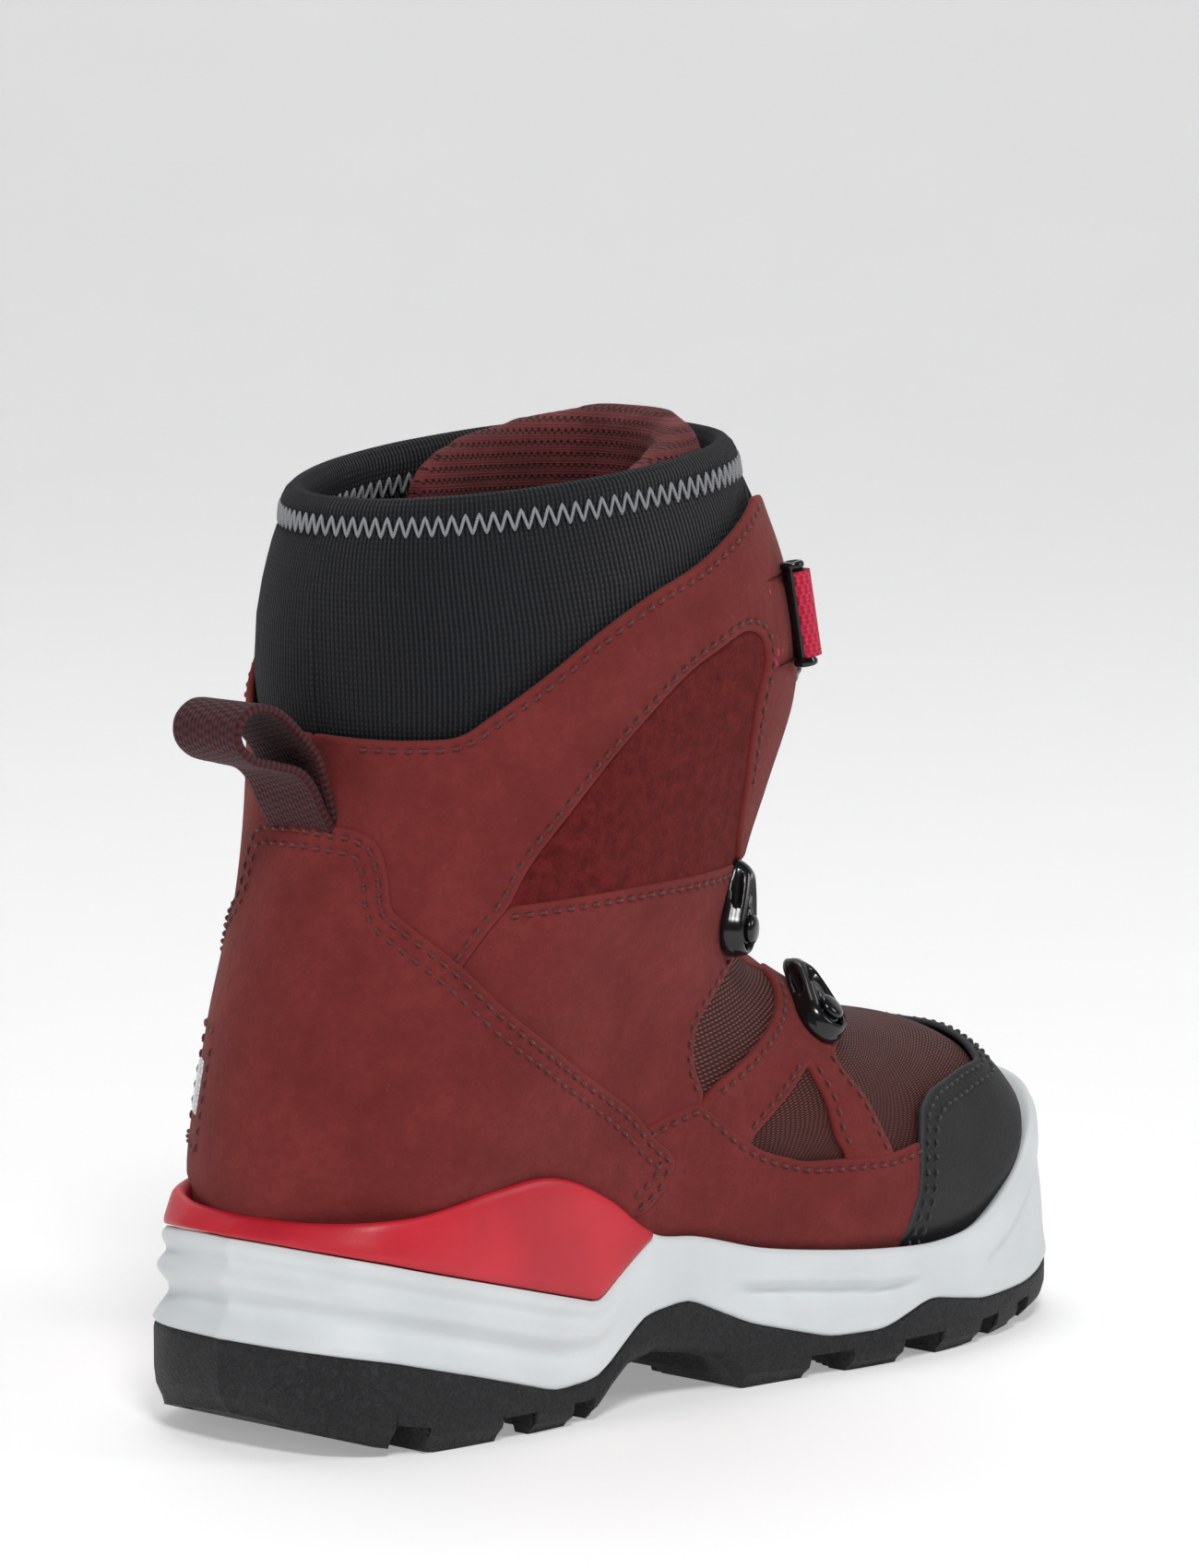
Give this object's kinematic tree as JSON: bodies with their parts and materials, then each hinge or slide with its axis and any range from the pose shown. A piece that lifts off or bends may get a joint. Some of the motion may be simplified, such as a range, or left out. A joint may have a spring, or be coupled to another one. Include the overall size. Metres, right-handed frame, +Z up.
{
  "type": "winter hiking boot",
  "caption": "Right ankle-high winter boot with a lugged rubber sole, knit cuff, padded tongue and a cable-lacing dial for a child's foot.",
  "frame": {"origin": "on the ground under the middle of the heel, 30 mm ahead of the sole's back edge", "axes": "+X towards the toe, +Y towards the inner side of the foot, +Z up"},
  "size_m": [0.2127, 0.086, 0.178],
  "materials": {
    "nubuck": "burgundy nubuck with a soft nap",
    "suede": "darker burgundy suede",
    "mesh": "maroon woven mesh",
    "toe_coat": "charcoal rubber-coated leather",
    "neoprene": "charcoal ribbed knit over neoprene",
    "tongue_mesh": "burgundy padded spacer mesh",
    "fleece": "dark grey fleece",
    "board": "pressed fibre board",
    "spring_steel": "rolled spring steel",
    "white_foam": "matt cool-white foam",
    "red_plastic": "satin red plastic",
    "sole_rubber": "black grained rubber",
    "loop_webbing": "dark maroon woven webbing",
    "red_webbing": "crimson woven webbing",
    "black_plastic": "glossy black moulded plastic",
    "rivet_steel": "black enamelled steel",
    "reflector": "silver-grey reflective film"
  },
  "bodies": {
    "root": {"ankle_guide_lateral": "black_plastic", "ankle_guide_medial": "black_plastic", "ankle_inset_lateral": "suede", "ankle_inset_medial": "suede", "ankle_rivet_lateral": "rivet_steel", "ankle_rivet_medial": "rivet_steel", "collar": "neoprene", "corner_mesh_lateral": "mesh", "corner_mesh_medial": "mesh", "cuff_tube_lateral": "black_plastic", "cuff_tube_medial": "black_plastic", "cuff_webbing_lateral": "red_webbing", "cuff_webbing_medial": "red_webbing", "dial_base": "black_plastic", "footbed": "fleece", "heel_counter": "board", "heel_overlay": "nubuck", "heel_stabilizer": "red_plastic", "insole_board": "board", "instep_guide_lateral": "black_plastic", "instep_guide_medial": "black_plastic", "instep_rivet_lateral": "rivet_steel", "instep_rivet_medial": "rivet_steel", "instep_shield": "nubuck", "instep_stay_lateral": "nubuck", "instep_stay_medial": "nubuck", "lining": "fleece", "midsole": "white_foam", "mudguard_lateral": "nubuck", "mudguard_medial": "nubuck", "outsole": "sole_rubber", "quarter_lateral": "nubuck", "quarter_medial": "nubuck", "reflective_strip": "reflector", "shank": "spring_steel", "side_panel_lateral": "nubuck", "side_panel_medial": "nubuck", "toe_cap": "toe_coat", "toe_puff": "board", "vamp_mesh": "mesh", "window_mesh_lateral": "mesh", "window_mesh_medial": "mesh"},
    "tongue": {"tongue": "tongue_mesh"},
    "loop": {"pull_loop": "loop_webbing"},
    "spool": {"dial_spool": "black_plastic"},
    "knob": {"dial_knob": "black_plastic", "dial_cap": "red_plastic"}
  },
  "joints": [
    {"name": "tongue_tilt", "type": "hinge", "parent": "root", "child": "tongue", "pos_m": [0.09286, -0.0001, 0.06851], "axis": [0, -1, 0], "range_deg": [0, 8]},
    {"name": "loop_swing", "type": "hinge", "parent": "root", "child": "loop", "pos_m": [-0.009, 0.001, 0.11], "axis": [0, -1, 0], "range_deg": [0, 60]},
    {"name": "dial_turn", "type": "hinge", "parent": "root", "child": "spool", "pos_m": [0.10286, 0.00002, 0.13034], "axis": [0.9999, 0, -0.0119], "continuous": true},
    {"name": "knob_pull", "type": "slide", "parent": "spool", "child": "knob", "axis": [0.9999, 0, -0.0119], "range_m": [0, 0.0025]}
  ]
}
